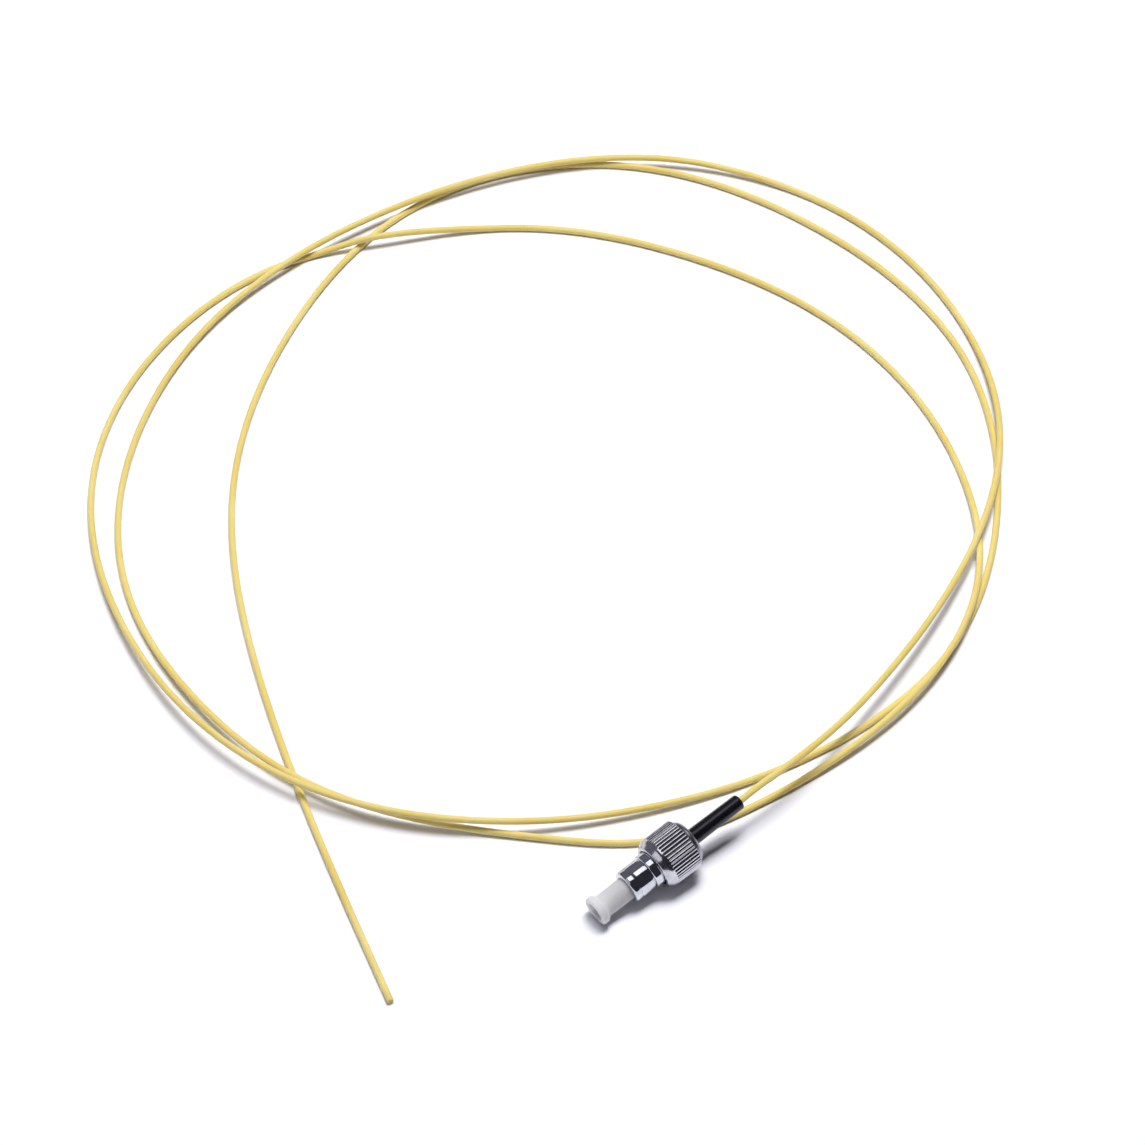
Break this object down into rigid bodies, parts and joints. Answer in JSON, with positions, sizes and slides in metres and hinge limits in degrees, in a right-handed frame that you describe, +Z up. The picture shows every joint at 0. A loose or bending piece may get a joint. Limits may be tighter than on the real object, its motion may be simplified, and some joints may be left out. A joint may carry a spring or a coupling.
{
  "type": "fibre optic pigtail",
  "caption": "Threaded round fibre connector with dust cap and short boot on a thin buffered fibre that lies in loose loops and ends in a plain cut.",
  "frame": {"origin": "on the floor, under the middle of the connector's box, without the cable", "axes": "+X from the connector's nose to its boot, level; +Z up; the connector itself leans 8.7 degrees nose down in the XZ plane"},
  "size_m": [0.1941, 0.1736, 0.0108],
  "materials": {
    "cap_polyethylene": "translucent milky moulded polyethylene",
    "ferrule_zirconia": "polished white zirconia",
    "holder_brass": "turned brass",
    "spring_steel": "drawn spring wire",
    "barrel_nickel": "bright nickel plate",
    "body_nickel": "bright nickel plate",
    "ring_steel": "bright steel",
    "nut_nickel": "bright nickel plate, fluted",
    "boot_pvc": "black extruded PVC, glossy",
    "buffer_pvc": "yellow PVC buffer, satin"
  },
  "bodies": {
    "connector": {"plug_frame": "barrel_nickel", "rear_body": "body_nickel", "ferrule": "ferrule_zirconia", "ferrule_holder": "holder_brass", "spring": "spring_steel", "boot": "boot_pvc", "cable": "buffer_pvc"},
    "nut_carrier": {"retaining_ring": "ring_steel"},
    "nut": {"coupling_nut": "nut_nickel"},
    "cap": {"dust_cap": "cap_polyethylene"}
  },
  "joints": [
    {"name": "nut_slide", "type": "slide", "parent": "connector", "child": "nut_carrier", "axis": [-0.9884, 0, -0.1521], "range_m": [0, 0.0041]},
    {"name": "nut_spin", "type": "hinge", "parent": "nut_carrier", "child": "nut", "pos_m": [-0.01659, 0, 0.00272], "axis": [-0.9884, 0, -0.1521], "continuous": true},
    {"name": "cap_pull", "type": "slide", "parent": "connector", "child": "cap", "axis": [-0.9884, 0, -0.1521], "range_m": [0, 0.006]}
  ]
}
